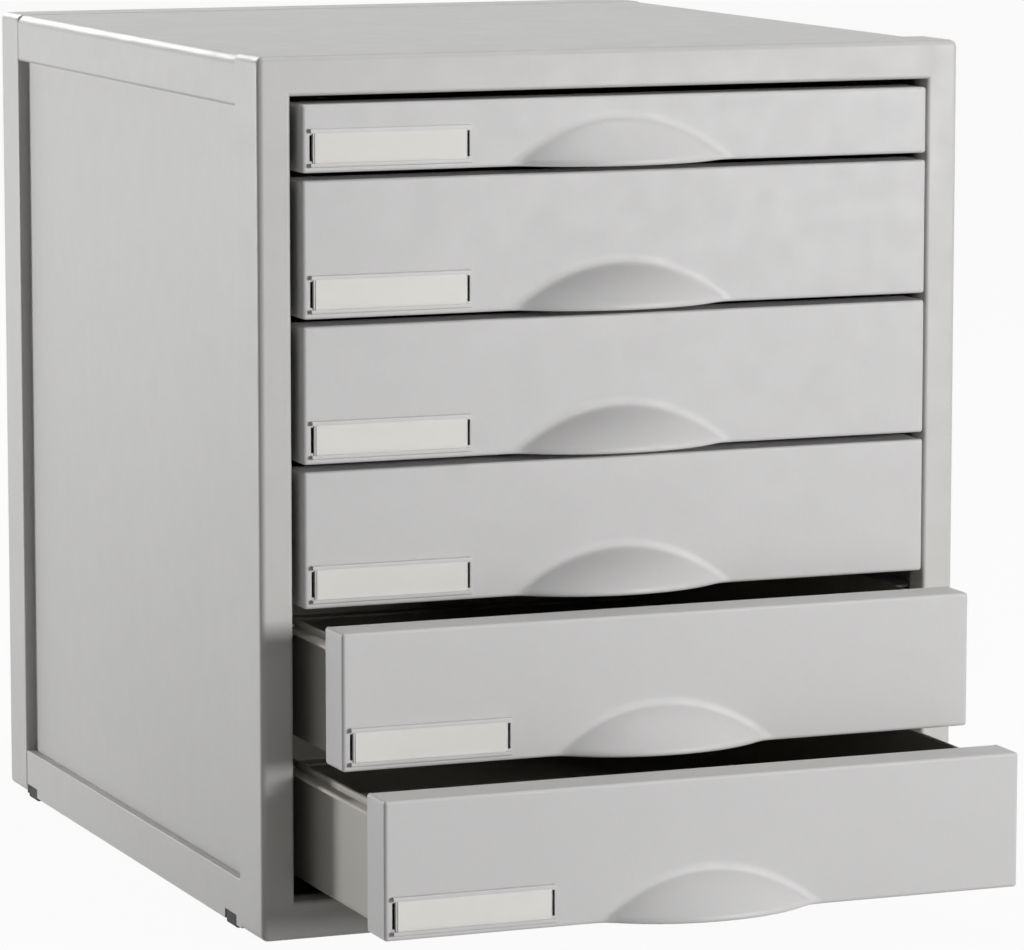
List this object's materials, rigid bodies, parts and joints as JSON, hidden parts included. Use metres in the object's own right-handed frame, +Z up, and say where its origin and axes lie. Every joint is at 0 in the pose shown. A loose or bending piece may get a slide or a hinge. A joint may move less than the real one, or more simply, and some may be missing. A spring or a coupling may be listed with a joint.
{
  "type": "drawer cabinet",
  "caption": "Desktop cabinet of folded sheet steel with sliding drawers, pressed finger hoods and label holders.",
  "frame": {"origin": "centre of the cabinet's base, midway between its front and rear frames, level with the feet's soles", "axes": "+Z up, the drawers pull out along -Y, +X to the right seen from the front"},
  "size_m": [0.3, 0.4616, 0.35],
  "materials": {
    "cabinet_paint": "satin",
    "drawer_paint": "satin",
    "tray_paint": "satin",
    "holder_paint": "satin",
    "runner_zinc": "satin",
    "rivet_steel": "satin",
    "screw_steel": "satin",
    "label_card": "matte",
    "clear_window": "gloss",
    "foot_rubber": "matte"
  },
  "bodies": {
    "cabinet": {"front_frame": "cabinet_paint", "rear_frame": "cabinet_paint", "top_cover": "cabinet_paint", "base_panel": "cabinet_paint", "left_base_rail": "cabinet_paint", "right_base_rail": "cabinet_paint", "left_side_panel": "cabinet_paint", "right_side_panel": "cabinet_paint", "back_panel": "cabinet_paint", "feet": "foot_rubber", "back_screws": "screw_steel", "left_runner_1": "runner_zinc", "left_runner_2": "runner_zinc", "left_runner_3": "runner_zinc", "left_runner_4": "runner_zinc", "left_runner_5": "runner_zinc", "left_runner_6": "runner_zinc", "right_runner_1": "runner_zinc", "right_runner_2": "runner_zinc", "right_runner_3": "runner_zinc", "right_runner_4": "runner_zinc", "right_runner_5": "runner_zinc", "right_runner_6": "runner_zinc"},
    "drawer_1": {"front_1": "drawer_paint", "tray_1": "tray_paint", "tray_rivets_1": "rivet_steel", "label_holder_1": "holder_paint", "label_card_1": "label_card", "label_window_1": "clear_window"},
    "drawer_2": {"front_2": "drawer_paint", "tray_2": "tray_paint", "tray_rivets_2": "rivet_steel", "label_holder_2": "holder_paint", "label_card_2": "label_card", "label_window_2": "clear_window"},
    "drawer_3": {"front_3": "drawer_paint", "tray_3": "tray_paint", "tray_rivets_3": "rivet_steel", "label_holder_3": "holder_paint", "label_card_3": "label_card", "label_window_3": "clear_window"},
    "drawer_4": {"front_4": "drawer_paint", "tray_4": "tray_paint", "tray_rivets_4": "rivet_steel", "label_holder_4": "holder_paint", "label_card_4": "label_card", "label_window_4": "clear_window"},
    "drawer_5": {"front_5": "drawer_paint", "tray_5": "tray_paint", "tray_rivets_5": "rivet_steel", "label_holder_5": "holder_paint", "label_card_5": "label_card", "label_window_5": "clear_window"},
    "drawer_6": {"front_6": "drawer_paint", "tray_6": "tray_paint", "tray_rivets_6": "rivet_steel", "label_holder_6": "holder_paint", "label_card_6": "label_card", "label_window_6": "clear_window"}
  },
  "joints": [
    {"name": "drawer_1_slide", "type": "slide", "parent": "cabinet", "child": "drawer_1", "axis": [0, -1, 0], "range_m": [0, 0.25]},
    {"name": "drawer_2_slide", "type": "slide", "parent": "cabinet", "child": "drawer_2", "axis": [0, -1, 0], "range_m": [0, 0.25]},
    {"name": "drawer_3_slide", "type": "slide", "parent": "cabinet", "child": "drawer_3", "axis": [0, -1, 0], "range_m": [0, 0.25]},
    {"name": "drawer_4_slide", "type": "slide", "parent": "cabinet", "child": "drawer_4", "axis": [0, -1, 0], "range_m": [0, 0.25]},
    {"name": "drawer_5_slide", "type": "slide", "parent": "cabinet", "child": "drawer_5", "axis": [0, -1, 0], "range_m": [-0.043, 0.207]},
    {"name": "drawer_6_slide", "type": "slide", "parent": "cabinet", "child": "drawer_6", "axis": [0, -1, 0], "range_m": [-0.089, 0.161]}
  ]
}
